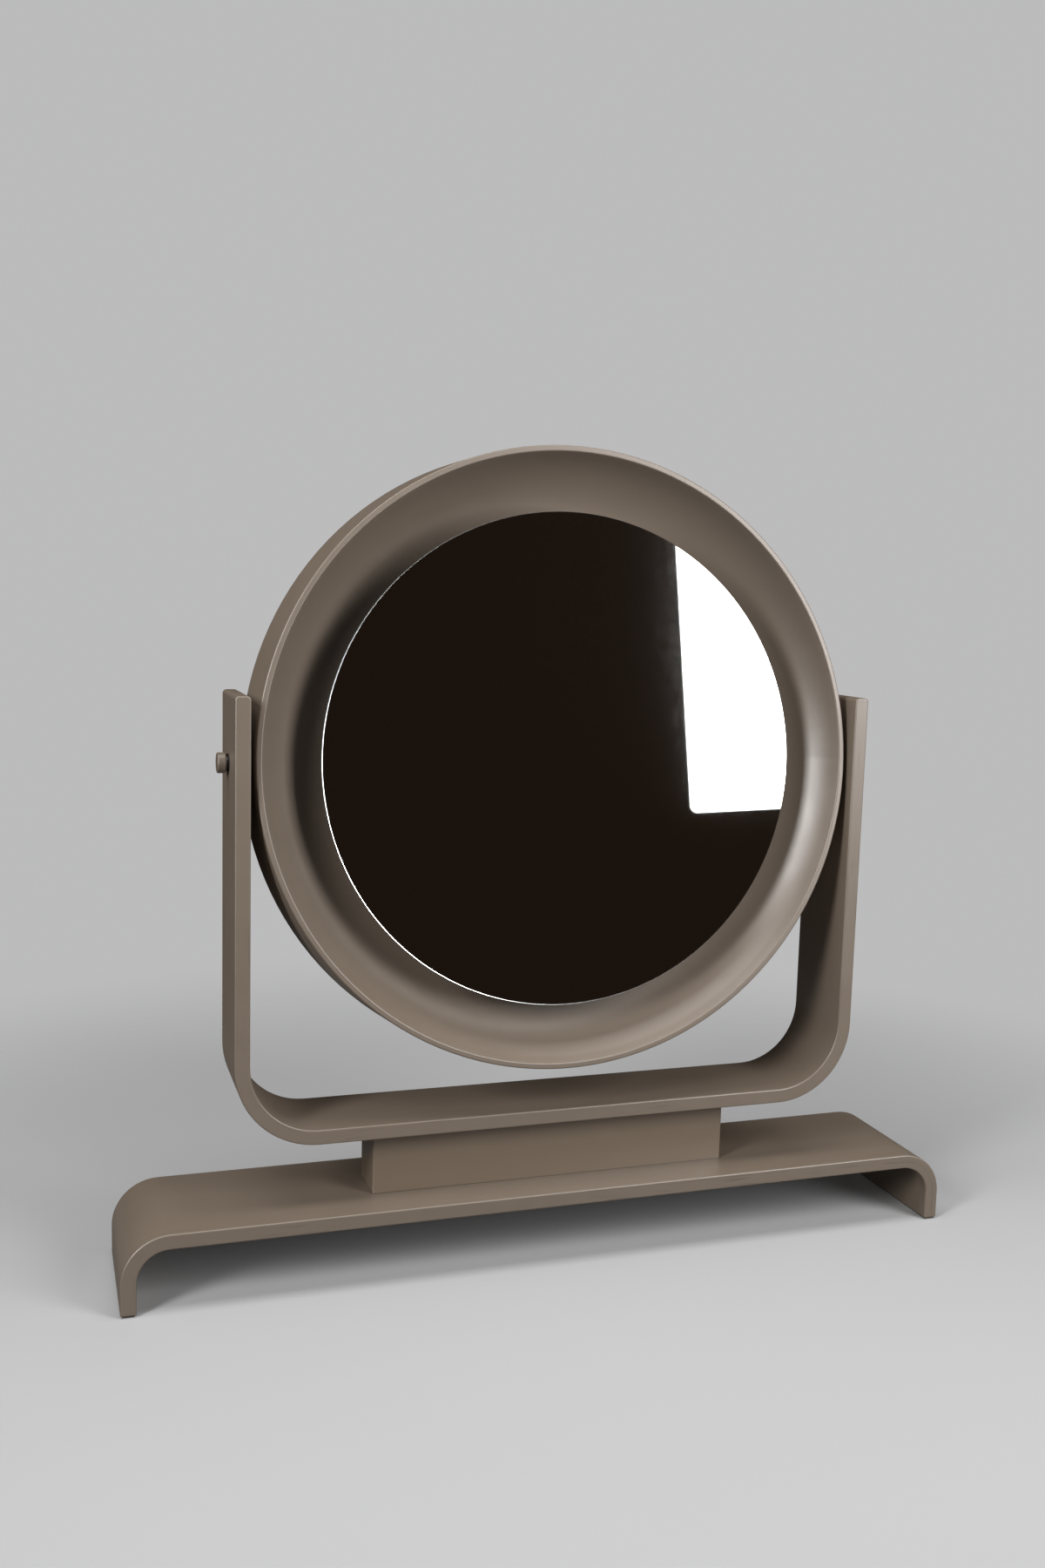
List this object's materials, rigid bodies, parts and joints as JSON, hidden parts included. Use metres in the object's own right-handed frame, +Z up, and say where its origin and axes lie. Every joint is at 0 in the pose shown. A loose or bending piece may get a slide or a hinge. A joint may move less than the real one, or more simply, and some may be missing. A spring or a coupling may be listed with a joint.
{
  "type": "vanity mirror",
  "caption": "Free-standing vanity mirror: round glass in a deep drum frame that tilts between the arms of a bent-wood U-shaped yoke on a bridge-shaped base.",
  "frame": {"origin": "on the table top, under the middle of the base", "axes": "+X to the right seen from the front, along the base; +Y to the back; +Z up"},
  "size_m": [0.71, 0.116, 0.666],
  "materials": {
    "taupe_lacquer": "satin taupe lacquer over bent and turned wood",
    "stained_board": "dark-stained birch board",
    "beech_dowel": "bare beech",
    "mirror_glass": "silvered float glass with a polished edge",
    "glue_pad": "black mirror-mounting pad",
    "zinc_steel": "zinc-plated steel",
    "black_zinc": "black zinc-plated steel",
    "brass": "turned brass",
    "nylon": "black nylon",
    "fibre_washer": "dark vulcanised fibre",
    "felt": "dark pressed felt"
  },
  "bodies": {
    "stand": {"base_bridge": "taupe_lacquer", "foot_felt_left": "felt", "foot_felt_right": "felt", "riser_block": "taupe_lacquer", "riser_screws": "zinc_steel", "yoke": "taupe_lacquer", "yoke_dowels": "beech_dowel", "pivot_bush_left": "nylon", "pivot_bush_right": "nylon"},
    "mirror": {"drum_ring": "taupe_lacquer", "back_board": "taupe_lacquer", "plinth_ring": "stained_board", "plinth_screws": "zinc_steel", "carrier_board": "stained_board", "glue_pads": "glue_pad", "mirror_glass": "mirror_glass", "thread_insert_left": "brass", "thread_insert_right": "brass", "pivot_stud_left": "zinc_steel", "pivot_stud_right": "zinc_steel", "friction_washer_left": "fibre_washer", "friction_washer_right": "fibre_washer"},
    "knob_left": {"clamp_knob_left": "taupe_lacquer", "knob_washer_left": "black_zinc"},
    "knob_right": {"clamp_knob_right": "taupe_lacquer", "knob_washer_right": "black_zinc"}
  },
  "joints": [
    {"name": "mirror_tilt", "type": "hinge", "parent": "stand", "child": "mirror", "pos_m": [0, 0, 0.41298], "axis": [1, 0, 0], "continuous": true},
    {"name": "knob_left_turn", "type": "hinge", "parent": "mirror", "child": "knob_left", "pos_m": [-0.2731, 0, 0.41298], "axis": [-1, 0, 0], "range_deg": [0, 270]},
    {"name": "knob_right_turn", "type": "hinge", "parent": "mirror", "child": "knob_right", "pos_m": [0.2731, 0, 0.41298], "axis": [1, 0, 0], "range_deg": [0, 270]}
  ]
}
